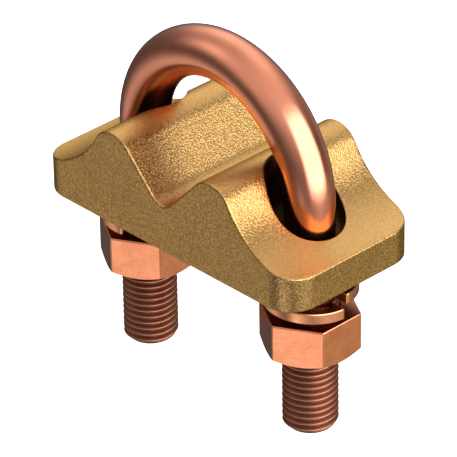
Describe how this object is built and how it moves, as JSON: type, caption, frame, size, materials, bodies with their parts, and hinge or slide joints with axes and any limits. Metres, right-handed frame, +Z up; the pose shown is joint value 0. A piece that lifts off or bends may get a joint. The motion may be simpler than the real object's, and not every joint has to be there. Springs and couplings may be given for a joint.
{
  "type": "u-bolt earth rod clamp",
  "caption": "U-bolt clamp for an earth rod: a cast bronze saddle with a V groove is drawn towards a round copper bow by nuts on its threaded legs.",
  "frame": {"origin": "midway between the two legs, on the plane that the leg ends stand on", "axes": "+X along the saddle from the left leg to the right leg, +Y along the groove in which the rod lies, +Z up from the leg ends to the bow"},
  "size_m": [0.0636, 0.0308, 0.0698],
  "materials": {
    "rod_copper": "smooth drawn copper alloy with a soft gloss",
    "cast_bronze": "sand-cast bronze, fine grain, satin",
    "washer_copper": "bright drawn copper alloy strip",
    "nut_copper": "bright machined copper alloy, faint brushing"
  },
  "bodies": {
    "u_bolt": {"u_bolt": "rod_copper"},
    "saddle": {"saddle": "cast_bronze"},
    "spring_washer_left": {"spring_washer_left": "washer_copper"},
    "spring_washer_right": {"spring_washer_right": "washer_copper"},
    "nut_left": {"nut_left": "nut_copper"},
    "nut_right": {"nut_right": "nut_copper"}
  },
  "joints": [
    {"name": "saddle_slide", "type": "slide", "parent": "u_bolt", "child": "saddle", "axis": [0, 0, 1], "range_m": [-0.015, 0.003]},
    {"name": "nut_left_turn", "type": "hinge", "parent": "saddle", "child": "nut_left", "pos_m": [-0.0206, 0, 0.0199], "axis": [0, 0, 1], "range_deg": [-4320, 864]},
    {"name": "nut_right_turn", "type": "hinge", "parent": "saddle", "child": "nut_right", "pos_m": [0.0206, 0, 0.0199], "axis": [0, 0, 1], "range_deg": [-4320, 864]},
    {"name": "washer_left_spin", "type": "hinge", "parent": "saddle", "child": "spring_washer_left", "pos_m": [-0.0206, 0, 0.0274], "axis": [0, 0, 1], "continuous": true},
    {"name": "washer_right_spin", "type": "hinge", "parent": "saddle", "child": "spring_washer_right", "pos_m": [0.0206, 0, 0.0274], "axis": [0, 0, 1], "continuous": true}
  ],
  "couplings": [
    {"joint": "nut_left_turn", "follows": "saddle_slide", "rad_per_m": 5026.5},
    {"joint": "nut_right_turn", "follows": "saddle_slide", "rad_per_m": 5026.5}
  ]
}
